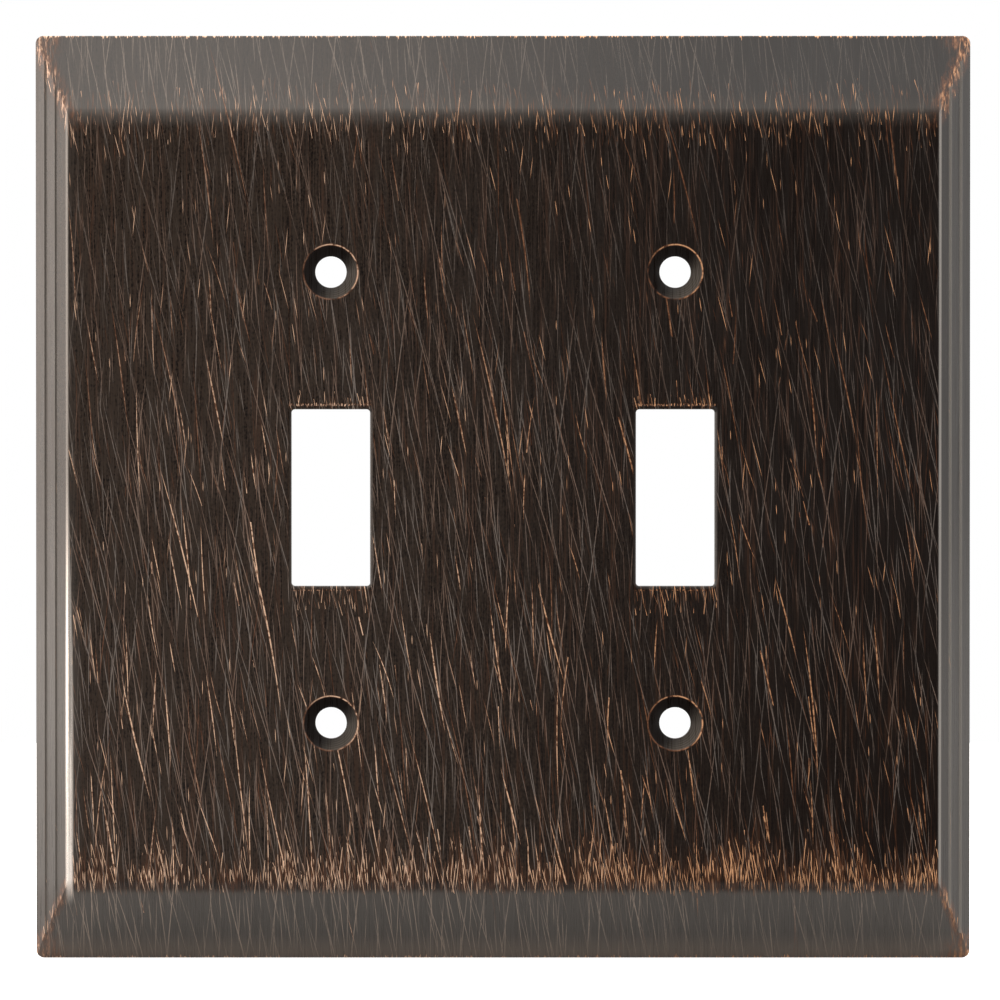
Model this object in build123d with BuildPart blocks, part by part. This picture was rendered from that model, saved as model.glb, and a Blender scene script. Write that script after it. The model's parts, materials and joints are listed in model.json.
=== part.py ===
from build123d import *
import math
import os

# Two-gang toggle wall plate with its four loose mounting screws, in millimetres.
# +Z is up, the plate's front faces -Y and its hollow back rests on the wall plane Y = 0.
# The origin is the centre of the rim that meets the wall.

# ---- driving dimensions: plate ----
plate_width = 125.4
plate_height = 123.8
plate_depth = 6.4
outline_corner_radius = 1.1
edge_land = 1.2  # straight wall between the rim and the foot of the slopes
land_edge_radius = 0.25
wall_rim = 1.3  # width of the rim that meets the wall
face_thickness = 1.6

# ---- slopes around the raised face ----
long_slope_run = 10.4  # top and bottom slopes, seen from the front
long_slope_blend = 3.0  # rounding where those slopes meet the face
long_blend_overshoot = 0.005  # the rounding passes through the face's plane instead of ending on it
side_slope_run = 4.5
side_step_count = 3
side_tread = 0.26  # flat ledge between two side steps
side_step_radius = 0.11
side_blend = 0.55

# ---- toggle openings and screw holes ----
gang_pitch = 46.04
opening_width = 10.5
opening_height = 23.6
opening_corner_radius = 0.45
opening_edge_radius = 0.6
screw_pitch = 60.33
screw_hole_radius = 2.1
countersink_radius = 3.63
countersink_angle = 82.0
boss_radius = 4.6
boss_thickness = 2.6  # measured from the front of the face

# ---- mounting screws: 6-32 oval head, slotted ----
thread_major_radius = 1.75
thread_minor_radius = 1.33
thread_pitch = 25.4 / 32
thread_crest = thread_pitch / 8
thread_root = thread_pitch / 4
head_radius = 3.45
head_rim = 0.12
crown_height = 0.95
screw_length = 19.05  # from the head's rim to the tip
tip_chamfer = 0.5
slot_width = 1.1
slot_depth = 1.25
screw_row_y = 8.6  # the loose screws lie in a row behind the plate's foot
screw_row_pitch = 25.5
screw_yaws = (5.0, -7.0, 4.0, -4.0)
screw_rolls = (24.0, 70.0, 115.0, 160.0)

half_width = plate_width / 2
half_height = plate_height / 2
slope_rise = plate_depth - edge_land
thread_flank = (thread_pitch - thread_crest - thread_root) / 2
thread_end = -screw_length + tip_chamfer
tip_crest = thread_end + thread_root / 2 + thread_flank
cone_depth = (head_radius - thread_minor_radius) / math.tan(math.radians(countersink_angle / 2))
thread_count = int((-head_rim - cone_depth - thread_end) / thread_pitch)


def mirrored(points):
    """Close a half section, given from the rim inwards, with its mirror image."""
    return points + [(-x, y) for x, y in reversed(points)]


def stepped_half():
    """Side edge from the rim to the face: a land, then equal sloping risers with flat treads."""
    step_run = side_slope_run / side_step_count
    step_rise = slope_rise / side_step_count
    points = [(half_width, 0), (half_width, -edge_land)]
    for step in range(1, side_step_count + 1):
        inner_x = half_width - step * step_run
        top_y = -edge_land - step * step_rise
        if step < side_step_count:
            points.append((inner_x + side_tread, top_y))
        points.append((inner_x, top_y))
    return points


def plain_half():
    """Top or bottom edge from the rim to just past the face: a land and one straight slope."""
    return [
        (half_height, 0),
        (half_height, -edge_land),
        (half_height - long_slope_run, -plate_depth - long_blend_overshoot),
    ]


def hollow_half(half_size, slope_run):
    """The hollow's side, parallel to the outer slope, from the rim to the back of the face."""
    depth = plate_depth - face_thickness
    run = depth * slope_run / slope_rise
    mouth = half_size - wall_rim
    return [(mouth, 0), (mouth - run, -depth)]


# ---- the hollow behind the face, cut from the plate below ----
with BuildPart() as hollow:
    with BuildSketch(Plane.XY) as hollow_across:
        with BuildLine():
            Polyline(mirrored(hollow_half(half_width, side_slope_run)), close=True)
        make_face()
    extrude(amount=half_height, both=True)
    with BuildSketch(Plane.YZ) as hollow_upright:
        with BuildLine():
            outline = mirrored(hollow_half(half_height, long_slope_run))
            Polyline([(y, z) for z, y in outline], close=True)
        make_face()
    extrude(amount=half_width, both=True, mode=Mode.INTERSECT)

# ---- wall plate ----
with BuildPart() as wall_plate:
    with BuildSketch(Plane.XY) as section_across:
        with BuildLine():
            Polyline(mirrored(stepped_half()), close=True)
        make_face()
        fillet(section_across.vertices().group_by(Axis.Y)[0], side_blend)
        steps = section_across.vertices().filter_by_position(
            Axis.Y, -plate_depth + side_blend, -edge_land - land_edge_radius
        )
        fillet(steps, side_step_radius)
        land_edges = section_across.vertices().filter_by_position(
            Axis.Y, -edge_land - 0.01, -edge_land + 0.01
        )
        fillet(land_edges, land_edge_radius)
    extrude(amount=half_height, both=True)

    with BuildSketch(Plane.YZ) as section_upright:
        with BuildLine():
            Polyline([(y, z) for z, y in mirrored(plain_half())], close=True)
        make_face()
        fillet(section_upright.vertices().group_by(Axis.X)[0], long_slope_blend)
        land_edges = section_upright.vertices().filter_by_position(
            Axis.X, -edge_land - 0.01, -edge_land + 0.01
        )
        fillet(land_edges, land_edge_radius)
    extrude(amount=half_width, both=True, mode=Mode.INTERSECT)

    with BuildSketch(Plane.XZ) as plate_outline:
        RectangleRounded(plate_width, plate_height, outline_corner_radius)
    extrude(amount=2 * plate_depth, both=True, mode=Mode.INTERSECT)

    add(hollow.part, mode=Mode.SUBTRACT)

    # cast bosses give the countersinks their depth
    with BuildSketch(Plane.XZ.offset(plate_depth - boss_thickness)) as bosses:
        with GridLocations(gang_pitch, screw_pitch, 2, 2):
            Circle(boss_radius)
    extrude(amount=boss_thickness - face_thickness / 2)

    with Locations(Plane.XZ.offset(plate_depth)):
        with GridLocations(gang_pitch, screw_pitch, 2, 2):
            CounterSinkHole(
                screw_hole_radius,
                countersink_radius,
                depth=plate_depth,
                counter_sink_angle=countersink_angle,
            )

    with BuildSketch(Plane.XZ) as openings:
        with GridLocations(gang_pitch, 0, 2, 1):
            RectangleRounded(opening_width, opening_height, opening_corner_radius)
    extrude(amount=plate_depth, mode=Mode.SUBTRACT)
    front_edges = wall_plate.edges().filter_by_position(
        Axis.Y, -plate_depth - 0.01, -plate_depth + 0.01
    )
    opening_edges = front_edges.filter_by_position(
        Axis.Z, -opening_height / 2 - 0.1, opening_height / 2 + 0.1
    ).filter_by_position(Axis.X, -gang_pitch, gang_pitch)
    fillet(opening_edges, opening_edge_radius)

wall_plate.part.label = "wall_plate"


def thread_points():
    """Thread outline from the head towards the tip, as separate ridges of the true pitch."""
    points = []
    for ridge in range(thread_count, 0, -1):
        top = thread_end + ridge * thread_pitch - thread_root / 2
        points.append((thread_minor_radius, top))
        points.append((thread_major_radius, top - thread_flank))
        points.append((thread_major_radius, top - thread_flank - thread_crest))
        points.append((thread_minor_radius, top - 2 * thread_flank - thread_crest))
    return points


# ---- one screw, upright, its head's rim at Z = 0 and its tip pointing down ----
with BuildPart() as machine_screw:
    with BuildSketch(Plane.XZ) as screw_section:
        with BuildLine():
            crown = TangentArc((0, crown_height), (head_radius, 0), tangent=(1, 0))
            Polyline(
                crown @ 1,
                (head_radius, -head_rim),
                (thread_minor_radius, -head_rim - cone_depth),
                *thread_points(),
                (thread_minor_radius, thread_end - tip_chamfer / 2),
                (thread_minor_radius - tip_chamfer / 2, -screw_length),
                (0, -screw_length),
                (0, crown_height),
            )
        make_face()
    revolve(axis=Axis.Z)
    with BuildSketch(Plane.XY.offset(crown_height)) as slot:
        Rectangle(3 * head_radius, slot_width)
    extrude(amount=-slot_depth, mode=Mode.SUBTRACT)


def lying_plane(index, yaw):
    """Where a screw lies: its head's rim and its last thread both touch the plane of the lower edge."""
    heading = math.radians(yaw)
    tilt = math.atan((head_radius - thread_major_radius) / (-head_rim - tip_crest))
    head_x = (index - 1.5) * screw_row_pitch + screw_length / 2
    head_y = screw_row_y + math.sin(heading) * screw_length / 2
    head_z = -half_height + head_radius * math.cos(tilt) + head_rim * math.sin(tilt)
    towards_head = Vector(
        math.cos(tilt) * math.cos(heading),
        math.cos(tilt) * math.sin(heading),
        math.sin(tilt),
    )
    across = Vector(-math.sin(heading), math.cos(heading), 0)
    return Plane(origin=(head_x, head_y, head_z), x_dir=across, z_dir=towards_head)


# ---- the finished pieces ----
os.makedirs("parts", exist_ok=True)
export_step(wall_plate.part, "parts/wall_plate.step")

for index, (yaw, roll) in enumerate(zip(screw_yaws, screw_rolls)):
    place = Location(lying_plane(index, yaw)) * Location((0, 0, 0), (0, 0, roll))
    with BuildPart() as mounting_screw:
        add(machine_screw.part.moved(place))
    name = f"mounting_screw_{index + 1}"
    mounting_screw.part.label = name
    export_step(mounting_screw.part, f"parts/{name}.step")

bounds = wall_plate.part.bounding_box()
print(f"plate {bounds.size.X:.2f} x {bounds.size.Y:.2f} x {bounds.size.Z:.2f} mm")
print(f"plate volume {wall_plate.part.volume:.0f} mm3")
print(f"screw volume {machine_screw.part.volume:.1f} mm3")
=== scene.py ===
"""Looks of the two-gang toggle wall plate: dark bronze patina, worn to copper at edges and scratches,
with sheen, highlights and shade painted into its colour.
"""

import json
import math

import bpy
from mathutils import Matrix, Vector


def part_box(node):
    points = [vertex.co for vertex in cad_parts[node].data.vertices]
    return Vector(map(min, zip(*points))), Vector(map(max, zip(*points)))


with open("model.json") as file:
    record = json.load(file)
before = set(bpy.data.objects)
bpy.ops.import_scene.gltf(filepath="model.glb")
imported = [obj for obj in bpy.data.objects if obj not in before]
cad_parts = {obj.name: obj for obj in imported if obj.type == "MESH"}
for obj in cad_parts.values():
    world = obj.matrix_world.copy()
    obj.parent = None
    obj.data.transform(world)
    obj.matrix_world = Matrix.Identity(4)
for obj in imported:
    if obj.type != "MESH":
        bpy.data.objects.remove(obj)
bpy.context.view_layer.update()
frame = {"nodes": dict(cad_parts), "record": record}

# ---- driving values of the plate, in millimetres ----
LONG_SLOPE = 10.4
SIDE_SLOPE = 4.5
SIDE_STEP = SIDE_SLOPE / 3
SIDE_TREAD = 0.26
OPENING_WIDTH = 10.5
OPENING_HEIGHT = 23.6
COUNTERSINK_RADIUS = 3.63

low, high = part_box("wall_plate")
HALF_WIDTH = high.x * 1000
HALF_HEIGHT = high.z * 1000
FACE_HALF_WIDTH = HALF_WIDTH - SIDE_SLOPE
FACE_HALF_HEIGHT = HALF_HEIGHT - LONG_SLOPE
mounts = {m["name"]: m for m in frame["record"]["mounts"]}
HOLE_X = mounts["screw_holes"]["dims"]["spacing_x_mm"] / 2
HOLE_Z = mounts["screw_holes"]["dims"]["spacing_y_mm"] / 2

# ---- scratches: leans in degrees from upright, sizes in millimetres, and a seed for each kind ----
FINE_HAIR_LEANS = (3.0, 9.0, -2.0, 14.0)
FINE_HAIR_SEED = 11.3
LONG_HAIR_LEANS = (6.0, 12.0, -7.0, 17.0)
LONG_HAIR_SEED = 21.9
# lean, width and length of a cell, half width of its scratch, share of the cells that hold one
COPPER_LAYERS = (
    (6.0, (4.6, 24.0), 0.105, 0.70),
    (13.0, (5.3, 30.0), 0.110, 0.70),
    (-5.0, (6.7, 21.0), 0.090, 0.55),
    (9.0, (2.1, 13.0), 0.068, 0.42),
    (2.0, (2.6, 18.0), 0.070, 0.42),
    (17.0, (3.0, 10.0), 0.065, 0.36),
)
COPPER_SEED = 41.7
STROKE_LEANS = (2.0, 9.0, -6.0, 15.0)
STROKE_HALF_WIDTH = 0.047
STROKE_SEED = 71.2
STRAY_STROKE_SHARE = 0.035

# ---- relief and the grain of the noises: lengths in millimetres along x, y and z ----
BUMP_STRENGTH = 0.25
BRUSHING_DEPTH = 0.00005  # metres
BRUSH_GRAIN = (0.20, 60.0, 9.0)
STREAK_GRAIN = (0.8, 60.0, 22.0)
SPECKLE_GRAIN = (0.28, 60.0, 0.42)
MOTTLE_GRAIN = (11.0, 60.0, 17.0)
CLUMP_GRAIN = (2.6, 60.0, 14.0)
GAP_GRAIN = (0.5, 60.0, 0.8)
CAST_GRAIN = (2.6, 2.6, 2.6)
SCREW_GRAIN = (0.35, 0.35, 0.35)
SCREW_MOTTLE_GRAIN = (1.8, 1.8, 1.8)

# ---- stage: places and sizes in metres, the lens and sensor in millimetres ----
FLOOR_SIZE = 1.2
FLOOR_DROP = 0.00002  # below the plate's lower edge
SENSOR_WIDTH = 36
LENS = 267.8
CAMERA_PLACE = (-0.0004, -1.0, 0.015)
CAMERA_AIM = (-0.0004, 0, -0.0004)
COOL_LIGHT = (1.0, 0.965, 0.925, 1)
WARM_LIGHT = (1.0, 0.90, 0.82, 1)
ABOVE_STRENGTH = 2.05
LEFT_STRENGTH = 3.05
RIGHT_STRENGTH = 1.20
BEHIND_STRENGTH = 0.7
FRONT_STRENGTH = 0.10

# ---- colours, linear ----
PATINA_DARK = (0.0050, 0.0022, 0.0014, 1)
PATINA_LIGHT = (0.0340, 0.0225, 0.0160, 1)
# painted sheen on the slopes, the side steps, the upper fold and just inside the side edges
BEVEL_SHEEN = (0.120, 0.111, 0.103, 1)
HAIRLINE_GREY = (0.185, 0.158, 0.142, 1)
HAIRLINE_BROWN = (0.200, 0.138, 0.108, 1)
# pale hairlines on the slopes; also the painted sheen along the lower edge
PALE_HAIRLINE_AND_SHEEN = (0.340, 0.275, 0.230, 1)
# painted sheen on the countersink cones' lower right
CONE_SHEEN = (0.110, 0.095, 0.080, 1)
# painted highlights on the side steps' ledges, paler toward the right
LEDGE_HIGHLIGHT = (0.130, 0.118, 0.106, 1)
PALE_LEDGE_HIGHLIGHT = (0.320, 0.300, 0.275, 1)
COPPER_HALO = (0.072, 0.029, 0.014, 1)
COPPER_DULL = (0.285, 0.105, 0.046, 1)
COPPER_ORANGE = (0.880, 0.480, 0.260, 1)
COPPER_BRIGHT = (0.970, 0.660, 0.470, 1)
# worn metal edge, and the painted highlight along the face's left side edge
WORN_EDGE_AND_HIGHLIGHT = (0.980, 0.900, 0.830, 1)
CAST_BACK = (0.022, 0.017, 0.015, 1)
WHITE = (1, 1, 1, 1)


class Graph:
    """Short ways to add and join the nodes of one node tree."""

    def __init__(self, tree):
        self.tree = tree

    def add(self, kind, **settings):
        node = self.tree.nodes.new(kind)
        for name, value in settings.items():
            setattr(node, name, value)
        return node

    def join(self, value, socket):
        if isinstance(value, bpy.types.NodeSocket):
            self.tree.links.new(value, socket)
        elif value is not None:
            socket.default_value = value

    def math(self, operation, a, b=None, c=None):
        node = self.add("ShaderNodeMath", operation=operation)
        for value, socket in zip((a, b, c), node.inputs):
            self.join(value, socket)
        return node.outputs[0]

    def plus(self, a, b):
        return self.math("ADD", a, b)

    def minus(self, a, b):
        return self.math("SUBTRACT", a, b)

    def times(self, a, b, *more):
        product = self.math("MULTIPLY", a, b)
        for value in more:
            product = self.math("MULTIPLY", product, value)
        return product

    def over(self, a, b):
        return self.math("DIVIDE", a, b)

    def line(self, a, slope, offset):
        """a times slope, plus offset."""
        return self.math("MULTIPLY_ADD", a, slope, offset)

    def size(self, a):
        return self.math("ABSOLUTE", a)

    def most(self, a, *more):
        for value in more:
            a = self.math("MAXIMUM", a, value)
        return a

    def rest(self, a):
        """What a leaves of 1, and never less than 0."""
        return self.math("MAXIMUM", self.minus(1.0, a), 0.0)

    def cap(self, a):
        """a, and never more than 1."""
        return self.math("MINIMUM", a, 1.0)

    def part(self, a, b):
        """a over b, held between 0 and 1."""
        return self.cap(self.math("MAXIMUM", self.over(a, b), 0.0))

    def split(self, vector):
        node = self.add("ShaderNodeSeparateXYZ")
        self.join(vector, node.inputs[0])
        return node.outputs

    def vector(self, x, y, z):
        node = self.add("ShaderNodeCombineXYZ")
        for value, socket in zip((x, y, z), node.inputs):
            self.join(value, socket)
        return node.outputs[0]

    def ramp(self, value, start, end):
        """Smooth step from 0 at start to 1 at end."""
        node = self.add("ShaderNodeMapRange", interpolation_type="SMOOTHSTEP")
        self.join(value, node.inputs["Value"])
        self.join(start, node.inputs["From Min"])
        self.join(end, node.inputs["From Max"])
        return node.outputs[0]

    def spread(self, value, first, last):
        """A 0 to 1 value spread over first to last."""
        node = self.add("ShaderNodeMapRange", clamp=False)
        self.join(value, node.inputs["Value"])
        self.join(first, node.inputs["To Min"])
        self.join(last, node.inputs["To Max"])
        return node.outputs[0]

    def mix(self, amount, a, b, blend="MIX"):
        node = self.add("ShaderNodeMix", data_type="RGBA", blend_type=blend)
        self.join(amount, node.inputs[0])
        self.join(a, node.inputs[6])
        self.join(b, node.inputs[7])
        return node.outputs[2]

    def noise(self, point, grain, seed, detail=2.0, roughness=0.5):
        """Noise around 0.5 whose grains are that long, in millimetres, along each axis."""
        mapping = self.add("ShaderNodeMapping")
        self.join(point, mapping.inputs["Vector"])
        mapping.inputs["Location"].default_value = (seed, 1.7 * seed, -2.3 * seed)
        mapping.inputs["Scale"].default_value = [1000 / length for length in grain]
        node = self.add("ShaderNodeTexNoise")
        self.join(mapping.outputs[0], node.inputs["Vector"])
        node.inputs["Scale"].default_value = 1.0
        node.inputs["Detail"].default_value = detail
        node.inputs["Roughness"].default_value = roughness
        return node.outputs["Fac"]

    def dice(self, value):
        """Four random numbers from 0 to 1 that belong to a value."""
        node = self.add("ShaderNodeTexWhiteNoise", noise_dimensions="1D")
        self.join(value, node.inputs["W"])
        parts = self.add("ShaderNodeSeparateColor")
        self.join(node.outputs["Color"], parts.inputs[0])
        return node.outputs["Value"], parts.outputs[0], parts.outputs[1], parts.outputs[2]

    def place(self):
        """The point on the object in metres, and the surface normal."""
        where = self.add("ShaderNodeTexCoord")
        return where.outputs["Object"], where.outputs["Normal"]

    def bump(self, height, depth, shader):
        """Fine relief of that depth, in metres."""
        node = self.add("ShaderNodeBump")
        node.inputs["Strength"].default_value = BUMP_STRENGTH
        node.inputs["Distance"].default_value = depth
        self.join(height, node.inputs["Height"])
        self.join(node.outputs[0], shader.inputs["Normal"])


def new_group(name, inputs, outputs):
    """A node group that takes and gives plain numbers."""
    tree = bpy.data.node_groups.new(name, "ShaderNodeTree")
    for label in inputs:
        tree.interface.new_socket(label, in_out="INPUT", socket_type="NodeSocketFloat")
    for label in outputs:
        tree.interface.new_socket(label, in_out="OUTPUT", socket_type="NodeSocketFloat")
    g = Graph(tree)
    entry = g.add("NodeGroupInput").outputs
    leave = g.add("NodeGroupOutput").inputs
    return tree, g, entry, leave


def scratch_group():
    """One scratch per tall cell, each with its own place, lean, bend, length and strength."""
    names = ("X", "Z", "Across", "Shear", "Along", "Sharpness", "Share", "Seed")
    tree, g, entry, leave = new_group("scratch_layer", names, ("Line", "Halo", "Tone"))
    u = g.line(entry["X"], entry["Across"], g.times(entry["Z"], entry["Shear"]))
    column_key = g.line(g.math("FLOOR", u), 12.9898, entry["Seed"])
    slide = g.add("ShaderNodeTexWhiteNoise", noise_dimensions="1D")
    g.join(column_key, slide.inputs["W"])
    v = g.line(entry["Z"], entry["Along"], slide.outputs["Value"])
    across = g.minus(g.math("FRACT", u), 0.5)
    along = g.minus(g.math("FRACT", v), 0.5)
    chance, place, lean, bend = g.dice(g.line(g.math("FLOOR", v), 78.233, column_key))
    tilt = g.line(g.line(bend, 1.1, -0.55), along, g.line(lean, 0.5, -0.25))
    centre = g.line(tilt, along, g.line(place, 0.45, -0.225))
    apart = g.times(g.size(g.minus(across, centre)), entry["Sharpness"])
    reach = g.math("FRACT", g.times(place, 43.3))
    shortness = g.line(g.times(reach, reach), 30.0, 4.3)
    taper = g.minus(1.0, g.times(along, along, shortness))
    there = g.math("LESS_THAN", chance, entry["Share"])
    line = g.math("MAXIMUM", g.minus(taper, apart), 0.0)
    halo = g.math("MAXIMUM", g.minus(taper, g.times(apart, 0.40)), 0.0)
    g.join(g.times(line, there), leave["Line"])
    g.join(g.times(halo, halo, there), leave["Halo"])
    g.join(g.math("FRACT", g.times(chance, 61.7)), leave["Tone"])
    return tree


SCRATCHES = scratch_group()


def scratch_layer(g, s, lean, cell, half_width, share, seed):
    """Scratches in cells of that width and length, leaning by that many degrees from upright."""
    node = g.add("ShaderNodeGroup", node_tree=SCRATCHES)
    width, length = cell
    shear = math.tan(math.radians(lean)) / width
    values = (s.x, s.z, 1 / width, shear, 1 / length, width / half_width, share, seed)
    for value, socket in zip(values, node.inputs):
        g.join(value, socket)
    return node.outputs["Line"], node.outputs["Halo"], node.outputs["Tone"]


def near(g, value, middle, half_width):
    """1 at middle, falling smoothly to 0 at half_width from it."""
    return g.ramp(g.size(g.minus(value, middle)), half_width, 0.0)


def spikes(g, point, grain, seed, threshold, softness=0.10):
    """Spiky wear: stretched noise that stands above a threshold."""
    noise = g.noise(point, grain, seed, detail=2.5, roughness=0.6)
    return g.ramp(noise, threshold, g.plus(threshold, softness))


class Surface:
    """Where a point of the plate is, in millimetres, 0 to 1 masks for its regions, and its brushing."""

    def __init__(self, g):
        self.point, normal = g.place()
        self.x, _, self.z = [g.times(part, 1000.0) for part in g.split(self.point)]
        self.size_x, self.size_z = g.size(self.x), g.size(self.z)
        normal_x, normal_y, normal_z = g.split(normal)
        self.on_side = g.ramp(g.size(normal_x), 0.25, 0.55)
        self.off_side = g.rest(self.on_side)
        self.on_long = g.ramp(g.size(normal_z), 0.12, 0.36)
        self.on_back = g.ramp(normal_y, 0.05, 0.35)
        self.off_back = g.rest(self.on_back)
        self.on_face = g.rest(g.plus(self.on_side, self.on_long))
        self.to_left = g.ramp(g.plus(self.x, g.times(self.z, 0.15)), 50.0, -55.0)
        self.lower = g.ramp(self.z, 48.0, -15.0)
        self.bottom = g.ramp(self.z, -FACE_HALF_HEIGHT - 0.2, -FACE_HALF_HEIGHT - 1.5)
        self.upper_fold = near(g, self.z, FACE_HALF_HEIGHT + 0.40, 2.6)
        self.brush = g.noise(self.point, BRUSH_GRAIN, seed=2.0, detail=3.0, roughness=0.62)
        self.streaks = g.noise(self.point, STREAK_GRAIN, seed=5.0, detail=2.0, roughness=0.6)
        self.speckle = g.noise(self.point, SPECKLE_GRAIN, seed=67.0, detail=1.0)
        self.mottle = g.noise(self.point, MOTTLE_GRAIN, seed=7.0, detail=2.0, roughness=0.55)
        self.busy = g.ramp(self.mottle, 0.30, 0.66)


def hairlines(g, s):
    """Hair scratches close together, short and long, most of them leaning to the left at the top."""
    strengths = []
    for index, lean in enumerate(FINE_HAIR_LEANS):
        cell = (1.15 + 0.13 * index, 12.0 + 2.9 * index)
        line, _, tone = scratch_layer(g, s, lean, cell, 0.060, 0.9, FINE_HAIR_SEED + index)
        strengths.append(g.times(line, g.line(tone, 0.95, 0.08)))
    for index, lean in enumerate(LONG_HAIR_LEANS):
        cell = (2.4 + 0.21 * index, 25.0 + 4.7 * index)
        line, _, tone = scratch_layer(g, s, lean, cell, 0.075, 0.85, LONG_HAIR_SEED + index)
        strengths.append(g.times(line, g.line(g.times(tone, tone), 1.5, 0.14)))
    return g.cap(g.times(g.most(*strengths), 2.8))


def worn_lines(g, s, layers, seed, faintest):
    """Lines worn to copper and the halos around them, a few strong and most faint, in several layers."""
    cores, glows = [], []
    for index, (lean, cell, half_width, share) in enumerate(layers):
        line, halo, tone = scratch_layer(g, s, lean, cell, half_width, share, seed + index)
        strong = g.line(g.times(tone, tone, tone), 1.9, faintest)
        cores.append(g.times(line, strong))
        glows.append(g.times(halo, strong))
    return g.most(*cores), g.most(*glows)


def copper_scratches(g, s):
    """Deeper scratches that cut through to the copper, with a rusty brown halo."""
    crowd = g.times(g.spread(s.busy, 0.28, 1.25), g.spread(g.ramp(s.z, 40.0, -30.0), 0.72, 1.15))
    crowd = g.times(crowd, g.spread(s.on_face, 0.08, 1.0), g.spread(s.to_left, 0.74, 1.12))
    towards_foot = g.spread(g.ramp(s.z, -32.0, -49.0), 1.0, 2.3)
    crowd = g.times(crowd, towards_foot, g.spread(s.bottom, 1.0, 0.75))
    layers = [
        (lean, cell, half_width, g.times(crowd, share)) for lean, cell, half_width, share in COPPER_LAYERS
    ]
    core, glow = worn_lines(g, s, layers, COPPER_SEED, 0.11)
    gaps = g.ramp(g.noise(s.point, GAP_GRAIN, seed=53.0, detail=2.0, roughness=0.6), 0.32, 0.58)
    broken = g.times(g.spread(gaps, 0.35, 1.0), g.spread(s.to_left, 0.74, 1.1))
    broken = g.times(broken, g.spread(s.lower, 0.55, 1.05))
    core = g.times(g.cap(g.times(core, 2.5)), broken, s.off_side)
    return core, g.times(g.cap(glow), s.off_side, 0.8)


def short_strokes(g, s, share, force):
    """Fine short strokes that gather where the metal folds."""
    layers = [
        (lean, (0.34 + 0.07 * index, 3.1 + 1.6 * index), STROKE_HALF_WIDTH, share)
        for index, lean in enumerate(STROKE_LEANS)
    ]
    core, glow = worn_lines(g, s, layers, STROKE_SEED, 0.13)
    return g.cap(g.times(core, force)), glow


def rim_ticks(g, s):
    """Tiny copper ticks along the upper and lower rims."""
    on_front = g.ramp(s.size_x, HALF_WIDTH - 0.4, HALF_WIDTH - 1.4)
    threshold = g.spread(g.part(g.minus(HALF_HEIGHT, s.size_z), 1.2), 0.48, 0.95)
    return g.times(spikes(g, s.point, (0.22, 40.0, 1.6), 17.0, threshold), on_front)


def opening_offsets(g, s):
    """How far a point is from its toggle opening's middle line, above its top and below its foot."""
    off_x = g.size(g.minus(s.size_x, HOLE_X))
    return off_x, g.minus(s.z, OPENING_HEIGHT / 2), g.minus(-OPENING_HEIGHT / 2, s.z)


def opening_rows(g, s):
    """A dotted copper row over and under each toggle opening, and how crowded the strokes are there."""
    off_x, above, below = opening_offsets(g, s)
    beside = g.ramp(off_x, OPENING_WIDTH / 2 + 0.5, OPENING_WIDTH / 2)
    top_row = near(g, above, 0.62, 0.75)
    top = spikes(g, s.point, (0.20, 40.0, 0.9), 23.0, g.spread(top_row, 0.92, 0.46), 0.16)
    foot_row = near(g, below, 0.55, 0.40)
    foot = spikes(g, s.point, (0.30, 40.0, 0.6), 29.0, g.spread(foot_row, 0.90, 0.52))
    over_top = g.times(near(g, above, 1.0, 1.9), 0.45)
    under_foot = g.times(near(g, below, 1.2, 3.4), 0.6)
    rows = g.times(g.most(top, g.times(foot, 0.6)), beside)
    return rows, g.times(g.most(over_top, under_foot), beside)


def opening_lip(g, s):
    """The rounded front edge of each toggle opening, less of it on its right."""
    off_x, above, below = opening_offsets(g, s)
    lip = g.ramp(g.most(g.minus(off_x, OPENING_WIDTH / 2), above, below), 0.75, 0.35)
    own_x = g.times(g.minus(s.size_x, HOLE_X), g.math("SIGN", s.x))
    to_right = g.ramp(own_x, OPENING_WIDTH / 2 - 0.4, OPENING_WIDTH / 2)
    return g.times(lip, g.spread(to_right, 1.0, 0.35))


def countersinks(g, s):
    """A copper line around each countersink, brightest on its upper right, and the turned cone in it,
    with a painted sheen on its lower right.
    """
    across = g.minus(s.size_x, HOLE_X)
    up = g.minus(s.size_z, HOLE_Z)
    radius = g.math("SQRT", g.plus(g.times(across, across), g.times(up, up)))
    ring = near(g, radius, COUNTERSINK_RADIUS + 0.02, 0.20)
    own_x = g.times(across, g.math("SIGN", s.x))
    own_z = g.times(up, g.math("SIGN", s.z))
    upper_right = g.over(g.plus(g.times(own_x, 0.8), g.times(own_z, 0.6)), COUNTERSINK_RADIUS)
    lower_right = g.over(g.minus(g.times(own_x, 0.8), g.times(own_z, 0.6)), COUNTERSINK_RADIUS)
    strength = g.spread(g.ramp(upper_right, -0.9, 0.9), 0.45, 1.0)
    patches = g.ramp(g.noise(s.point, (0.7, 5.0, 0.7), seed=31.0), 0.28, 0.56)
    outside = g.ramp(radius, COUNTERSINK_RADIUS - 0.15, COUNTERSINK_RADIUS + 0.15)
    turned = g.line(g.math("SINE", g.times(radius, 24.0)), 0.25, 0.75)
    # painted sheen: the cone lightens toward its lower right
    cone = g.mix(g.times(g.ramp(lower_right, 0.0, 0.8), turned, 0.8), PATINA_DARK, CONE_SHEEN)
    return g.times(ring, strength, patches), outside, g.times(g.rest(outside), s.off_back), cone


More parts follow.
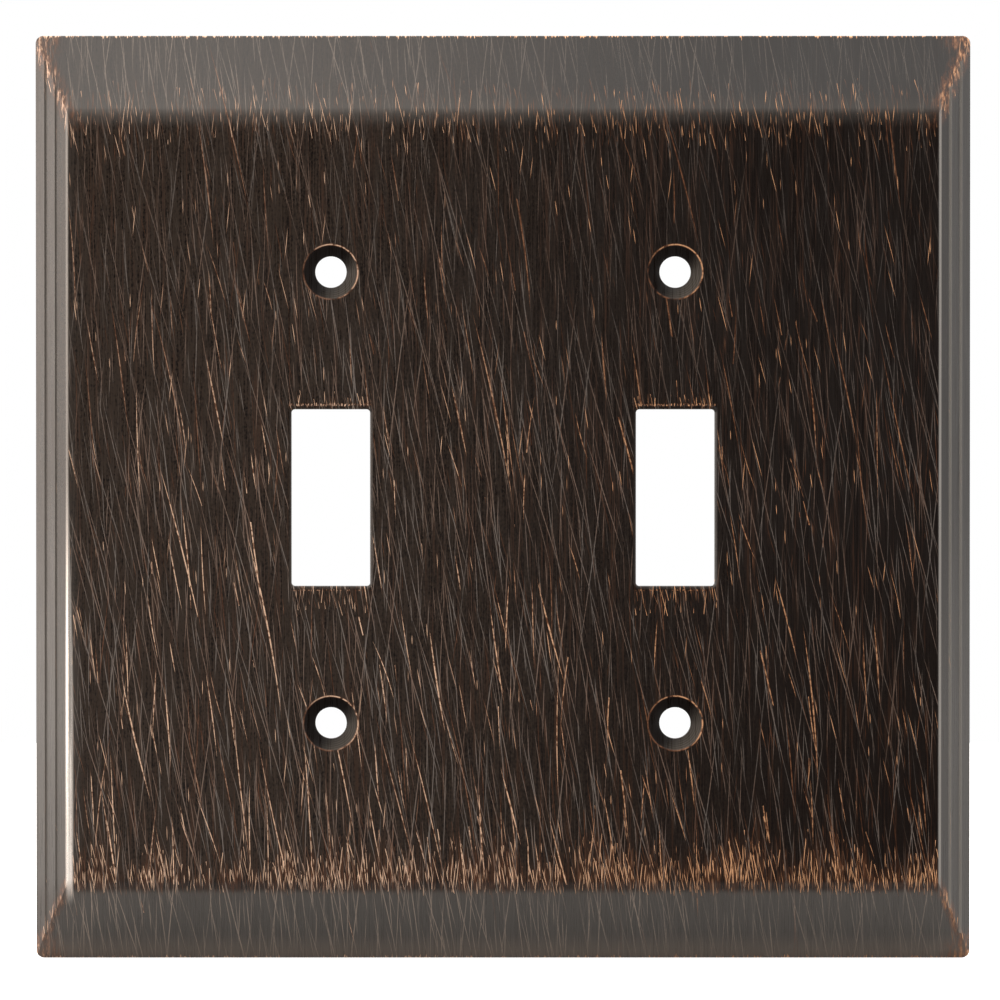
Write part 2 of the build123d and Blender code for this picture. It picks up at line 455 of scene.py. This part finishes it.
def fold_crowd(g, s):
    """How crowded the short strokes are, all told, at the lower fold, and along mitres and corners."""
    clump = g.ramp(g.noise(s.point, CLUMP_GRAIN, seed=71.0), 0.34, 0.66)
    climb = g.plus(s.z, FACE_HALF_HEIGHT)
    low_fold = g.times(g.ramp(climb, g.spread(clump, 3.6, 8.4), 0.2), g.ramp(climb, -2.0, -0.5))
    low_fold = g.times(low_fold, g.spread(clump, 0.55, 1.15))
    drop = g.minus(FACE_HALF_HEIGHT, s.z)
    high_fold = g.times(g.ramp(drop, 6.5, -0.5), g.ramp(drop, -5.0, -1.0), 0.50)
    from_side = g.minus(HALF_WIDTH, s.size_x)
    from_end = g.minus(HALF_HEIGHT, s.size_z)
    inside = g.ramp(from_side, SIDE_SLOPE - 0.6, SIDE_SLOPE + 0.4)
    low_fold, high_fold = g.times(low_fold, inside), g.times(high_fold, inside)
    off_mitre = g.size(g.minus(g.times(from_side, LONG_SLOPE / SIDE_SLOPE), from_end))
    low_end = g.ramp(s.z, 20.0, -20.0)
    on_slopes = g.ramp(from_end, LONG_SLOPE + 3.0, LONG_SLOPE - 1.0)
    mitre = g.times(g.ramp(off_mitre, g.spread(low_end, 4.4, 2.6), 0.3), on_slopes)
    mitre = g.times(mitre, g.spread(low_end, 1.0, 0.85))
    off_corner = g.math("SQRT", g.plus(g.times(from_side, from_side), g.times(from_end, from_end)))
    corner = g.ramp(off_corner, 4.8, 0.8)
    return g.most(low_fold, high_fold, mitre, corner), low_fold, g.most(mitre, corner)


def side_edges(g, s):
    """Worn metal along the face's side edges, with a painted highlight that grows broad and bright low on
    the left, a painted sheen just inside those edges, and painted highlights on the steps' ledges.
    """
    left = g.ramp(s.x, 10.0, -10.0)
    # painted highlight: the worn edge line grows broader and stronger low on the left
    grown = g.times(g.ramp(s.z, 7.0, -30.0), left)
    half_width = g.spread(grown, 0.26, 0.66)
    centre = g.spread(left, FACE_HALF_WIDTH + 0.20, FACE_HALF_WIDTH + 0.02)
    centre = g.minus(centre, g.times(grown, 0.24))
    edge = g.ramp(g.size(g.minus(s.size_x, centre)), half_width, g.times(half_width, 0.3))
    wear = g.spread(g.noise(s.point, (1.0, 5.0, 7.0), seed=47.0), 0.75, 1.1)
    strength = g.most(g.times(g.plus(grown, 0.18), left), 0.11)
    inside = g.ramp(s.size_z, HALF_HEIGHT - 7.0, HALF_HEIGHT - 11.5)
    # the steps' ledges and part of the edge line, painted as highlights
    ledges = g.most(
        near(g, s.size_x, FACE_HALF_WIDTH + SIDE_STEP + SIDE_TREAD / 2, 0.30),
        near(g, s.size_x, FACE_HALF_WIDTH + 2 * SIDE_STEP + SIDE_TREAD / 2, 0.30),
    )
    ledges = g.most(ledges, g.times(edge, inside, 0.6))
    # painted sheen just inside the side edges, broad low on the left
    beside = g.ramp(s.size_x, FACE_HALF_WIDTH - 2.2, FACE_HALF_WIDTH)
    rubbed_and_sheen = g.times(beside, inside, g.plus(grown, g.times(left, 0.25)))
    return g.times(edge, wear, inside, strength), ledges, rubbed_and_sheen


def patina(g, s):
    """Brushed patina, rusty in streaks, lightened toward the left as painted light, with a painted sheen
    on the slopes and side steps, a painted highlight band at the upper fold and a painted sheen along the
    lower edge.
    """
    tone = g.line(g.ramp(s.brush, 0.22, 0.78), 0.52, g.times(g.ramp(s.streaks, 0.36, 0.64), 0.14))
    # painted light: the patina's tone is raised toward the left, as if lit from that side
    tone = g.times(g.plus(tone, g.line(s.speckle, 1.6, -0.66)), g.spread(s.to_left, 0.15, 1.95))
    colour = g.mix(tone, PATINA_DARK, PATINA_LIGHT)
    rusty = g.times(g.ramp(s.streaks, 0.52, 0.40), g.ramp(s.brush, 0.48, 0.66), s.on_face)
    colour = g.mix(g.times(rusty, 0.40), colour, COPPER_HALO)
    # painted sheen: the top and bottom slopes and the lower side steps are lightened toward BEVEL_SHEEN,
    # standing in for light from above and from the floor
    top = g.ramp(s.z, FACE_HALF_HEIGHT - 3.2, FACE_HALF_HEIGHT + 2.5)
    slopes = g.plus(g.times(top, g.spread(s.to_left, 0.02, 0.46)), g.times(s.bottom, 0.78))
    steps = g.times(g.ramp(s.z, 5.0, -35.0), s.on_side, 0.35)
    sheen = g.most(g.times(slopes, s.off_side), steps)
    colour = g.mix(g.times(sheen, g.spread(s.brush, 0.7, 1.3)), colour, BEVEL_SHEEN)
    # painted highlight: a pale band along the upper fold, stronger to the left
    glow = g.times(s.upper_fold, g.spread(s.to_left, 0.36, 0.76), s.off_side)
    colour = g.mix(glow, colour, BEVEL_SHEEN)
    # painted sheen: the slope at the lower edge is lightened toward the pale colour
    foot = g.times(g.ramp(s.z, 3.8 - HALF_HEIGHT, 0.2 - HALF_HEIGHT), s.off_side, 0.40)
    return g.mix(foot, colour, PALE_HAIRLINE_AND_SHEEN)


def add_hairlines(g, s, colour):
    """Hair scratches over the patina, most of them low and to the left, and pale on the slopes."""
    share = g.times(
        g.spread(g.ramp(s.to_left, 0.0, 0.75), 0.54, 1.1),
        g.spread(s.busy, 0.66, 1.05),
        g.spread(s.lower, 0.58, 1.2),
    )
    share = g.times(share, g.spread(s.on_face, 0.80, 1.0), g.spread(s.speckle, 0.40, 1.70))
    towards_foot = g.spread(g.ramp(s.z, -40.0, -50.0), 1.0, 1.35)
    share = g.times(share, towards_foot, g.spread(s.bottom, 1.0, 0.85))
    tint = g.mix(g.ramp(s.streaks, 0.44, 0.60), HAIRLINE_BROWN, HAIRLINE_GREY)
    tint = g.mix(s.on_long, tint, PALE_HAIRLINE_AND_SHEEN)
    return g.mix(g.times(hairlines(g, s), share, s.off_side), colour, tint)


def copper_wear(g, s, rim, outside):
    """Where the patina is worn to copper, the rusty halo around that, and the lower fold's part in it."""
    core, glow = copper_scratches(g, s)
    fold_share, low_fold, mitre = fold_crowd(g, s)
    rows, row_share = opening_rows(g, s)
    share = g.most(fold_share, row_share, g.times(s.on_face, STRAY_STROKE_SHARE))
    force = g.times(g.spread(low_fold, 1.6, 4.2), g.spread(s.on_long, 1.0, 0.50))
    strokes, stroke_glow = short_strokes(g, s, share, force)
    patches = g.noise(s.point, (0.45, 3.0, 1.5), seed=37.0, detail=3.0, roughness=0.65)
    rubbed_and_sheen = g.times(mitre, g.ramp(patches, 0.42, 0.66), 0.75)
    wear = g.times(g.most(core, strokes), outside)
    wear = g.times(g.most(wear, rows, rim, rim_ticks(g, s), rubbed_and_sheen), s.off_back)
    halo = g.most(
        g.times(g.most(glow, stroke_glow), outside, s.off_back),
        g.times(rows, 0.8),
        g.times(mitre, 0.55, s.off_back),
        g.times(low_fold, g.ramp(s.brush, 0.35, 0.65)),
    )
    return wear, g.times(halo, g.spread(low_fold, 0.62, 0.95)), low_fold


def copper_colour(g, s, wear):
    """Dull where the wear is slight, bright where it is deep, paler to the left as painted light and more
    orange to the right.
    """
    shade = g.noise(s.point, (0.30, 3.0, 1.3), seed=59.0, detail=2.0, roughness=0.6)
    # painted light: deep copper wear is paler toward the left
    bright = g.mix(g.ramp(s.to_left, 0.15, 0.75), COPPER_ORANGE, COPPER_BRIGHT)
    return g.mix(g.ramp(g.line(wear, 0.85, g.times(shade, 0.5)), 0.42, 1.10), COPPER_DULL, bright)


def plate_gloss(g, s, in_cone):
    """Specular level: dull on the face, most of all low down, in the cones and on the openings' lips."""
    towards_foot = g.spread(g.ramp(s.z, 40.0, -50.0), 0.20, 0.62)
    dim = g.times(s.on_face, towards_foot, g.spread(s.to_left, 1.25, 0.9))
    fading = g.times(s.upper_fold, s.off_side, 0.45)
    dull = g.most(g.times(opening_lip(g, s), 0.75), g.times(in_cone, 0.5), dim, fading)
    return g.times(g.rest(g.times(dull, s.off_back)), 0.5)


def principled(material):
    material.use_nodes = True
    tree = material.node_tree
    tree.nodes.clear()
    g = Graph(tree)
    shader = g.add("ShaderNodeBsdfPrincipled")
    out = g.add("ShaderNodeOutputMaterial")
    tree.links.new(shader.outputs[0], out.inputs["Surface"])
    return g, shader


def bronze_plate():
    """Brushed near-black patina over copper plate, with a dull cast back."""
    material = bpy.data.materials.new("antique_bronze_plate")
    g, shader = principled(material)
    s = Surface(g)
    edge, ledges, beside = side_edges(g, s)
    edge = g.times(edge, s.off_back)
    rim, outside, in_cone, cone = countersinks(g, s)
    wear, halo, low_fold = copper_wear(g, s, rim, outside)

    colour = patina(g, s)
    # painted sheen just inside the side edges
    colour = g.mix(g.times(beside, s.off_back, 0.42), colour, BEVEL_SHEEN)
    # painted shade: a dark band along the lower fold
    painted_fold_shade = near(g, s.z, -FACE_HALF_HEIGHT - 0.35, 1.2)
    colour = g.mix(g.times(painted_fold_shade, 0.95, s.off_side), colour, PATINA_DARK)
    colour = add_hairlines(g, s, colour)
    # the countersink cones, with their painted sheen
    colour = g.mix(in_cone, colour, cone)
    colour = g.mix(halo, colour, COPPER_HALO)
    colour = g.mix(wear, colour, copper_colour(g, s, wear))
    # painted highlights on the side steps' ledges, paler on the right
    ledge_highlight = g.mix(g.ramp(s.x, 40.0, 50.0), LEDGE_HIGHLIGHT, PALE_LEDGE_HIGHLIGHT)
    colour = g.mix(g.times(ledges, 0.85, s.off_back, g.rest(s.on_long)), colour, ledge_highlight)
    # worn side edge with a painted highlight, broad and bright low on the left
    colour = g.mix(edge, colour, WORN_EDGE_AND_HIGHLIGHT)
    cast = g.noise(s.point, CAST_GRAIN, seed=61.0, detail=4.0, roughness=0.62)
    cast_colour = g.mix(g.ramp(cast, 0.35, 0.7), PATINA_DARK, CAST_BACK)
    g.join(g.mix(s.on_back, colour, cast_colour), shader.inputs["Base Color"])

    metal = g.plus(g.times(wear, g.spread(low_fold, 0.30, 0.08)), g.times(edge, 0.95))
    g.join(g.plus(metal, 0.03), shader.inputs["Metallic"])
    rough = g.plus(0.30, g.times(g.minus(s.brush, 0.5), 0.40))
    rough = g.plus(rough, g.times(g.minus(s.mottle, 0.5), 0.12))
    rough = g.plus(rough, g.times(wear, 0.08))
    rough = g.minus(rough, g.times(edge, 0.16))
    g.join(g.plus(rough, g.times(s.on_back, 0.22)), shader.inputs["Roughness"])
    g.join(plate_gloss(g, s, in_cone), shader.inputs["Specular IOR Level"])

    height = g.plus(g.times(s.brush, 0.6), g.times(s.streaks, 0.5))
    g.bump(g.plus(height, g.times(s.on_back, cast, 3.0)), BRUSHING_DEPTH, shader)
    return material


def bronze_screw():
    """The same patina on the loose screws, rubbed to copper in small patches."""
    material = bpy.data.materials.new("antique_bronze_screw")
    g, shader = principled(material)
    point, _ = g.place()
    grain = g.noise(point, SCREW_GRAIN, seed=2.0, detail=4.0, roughness=0.6)
    mottle = g.noise(point, SCREW_MOTTLE_GRAIN, seed=5.0, detail=3.0, roughness=0.55)
    colour = g.mix(g.ramp(mottle, 0.34, 0.66), PATINA_DARK, PATINA_LIGHT)
    wear = g.times(g.ramp(mottle, 0.56, 0.66), g.ramp(grain, 0.44, 0.62))
    copper = g.mix(grain, COPPER_DULL, COPPER_BRIGHT)
    g.join(g.mix(g.times(wear, 0.8), colour, copper), shader.inputs["Base Color"])
    g.join(g.plus(g.times(wear, 0.45), 0.15), shader.inputs["Metallic"])
    g.join(g.plus(0.22, g.times(grain, 0.28)), shader.inputs["Roughness"])
    g.bump(grain, 0.8 * BRUSHING_DEPTH, shader)
    return material


def paint(node, material):
    node.data.materials.clear()
    node.data.materials.append(material)


def studio_floor():
    """Plain pale floor under the plate's lower edge."""
    bpy.ops.mesh.primitive_plane_add(size=FLOOR_SIZE, location=(0, 0, low.z - FLOOR_DROP))
    floor = bpy.context.object
    floor.name = "studio_floor"
    material = bpy.data.materials.new("studio_floor")
    g, shader = principled(material)
    point, _ = g.place()
    tone = g.spread(g.noise(point, (180.0, 180.0, 180.0), seed=3.0), 0.52, 0.56)
    g.join(g.vector(tone, tone, tone), shader.inputs["Base Color"])
    shader.inputs["Roughness"].default_value = 0.9
    shader.inputs["Specular IOR Level"].default_value = 0.0
    shader.inputs["Emission Color"].default_value = WHITE
    ray = g.add("ShaderNodeLightPath")
    g.join(ray.outputs["Is Camera Ray"], shader.inputs["Emission Strength"])
    floor.data.materials.append(material)


def studio_light():
    """Soft light from all round: bright to the left and above, dim in front, white behind."""
    world = bpy.data.worlds.new("studio")
    bpy.context.scene.world = world
    world.use_nodes = True
    tree = world.node_tree
    tree.nodes.clear()
    g = Graph(tree)
    where = g.add("ShaderNodeTexCoord")
    x, y, z = g.split(where.outputs["Generated"])
    above = g.times(g.ramp(z, 0.40, 0.86), ABOVE_STRENGTH)
    right = g.times(g.ramp(x, 0.66, 0.98), RIGHT_STRENGTH)
    light = g.plus(g.plus(above, right), FRONT_STRENGTH)
    behind = g.times(g.ramp(y, 0.1, 0.8), BEHIND_STRENGTH)
    cool = g.mix(1.0, COOL_LIGHT, g.vector(*[g.plus(light, behind)] * 3), "MULTIPLY")
    left = g.times(g.ramp(x, -0.58, -0.96), LEFT_STRENGTH)
    warm = g.mix(1.0, WARM_LIGHT, g.vector(*[left] * 3), "MULTIPLY")
    key = g.add("ShaderNodeBackground")
    g.join(g.mix(1.0, cool, warm, "ADD"), key.inputs["Color"])
    seen = g.add("ShaderNodeBackground")
    seen.inputs["Color"].default_value = WHITE
    ray = g.add("ShaderNodeLightPath")
    either = g.add("ShaderNodeMixShader")
    g.join(ray.outputs["Is Camera Ray"], either.inputs[0])
    g.join(key.outputs[0], either.inputs[1])
    g.join(seen.outputs[0], either.inputs[2])
    out = g.add("ShaderNodeOutputWorld")
    g.join(either.outputs[0], out.inputs["Surface"])


def studio_camera():
    """Long lens, square to the plate and a little above its middle."""
    data = bpy.data.cameras.new("camera")
    data.sensor_width = SENSOR_WIDTH
    data.lens = LENS
    data.clip_start = 0.01
    camera = bpy.data.objects.new("camera", data)
    bpy.context.scene.collection.objects.link(camera)
    camera.location = CAMERA_PLACE
    aim = Vector(CAMERA_AIM) - camera.location
    camera.rotation_euler = aim.to_track_quat("-Z", "Y").to_euler()
    bpy.context.scene.camera = camera


for imported in list(bpy.data.materials):
    bpy.data.materials.remove(imported)
paint(frame["nodes"]["wall_plate"], bronze_plate())
screw_material = bronze_screw()
for number in range(1, 5):
    paint(frame["nodes"][f"mounting_screw_{number}"], screw_material)
studio_floor()
studio_light()
studio_camera()
bpy.context.scene.view_settings.view_transform = "Standard"

bpy.context.view_layer.update()
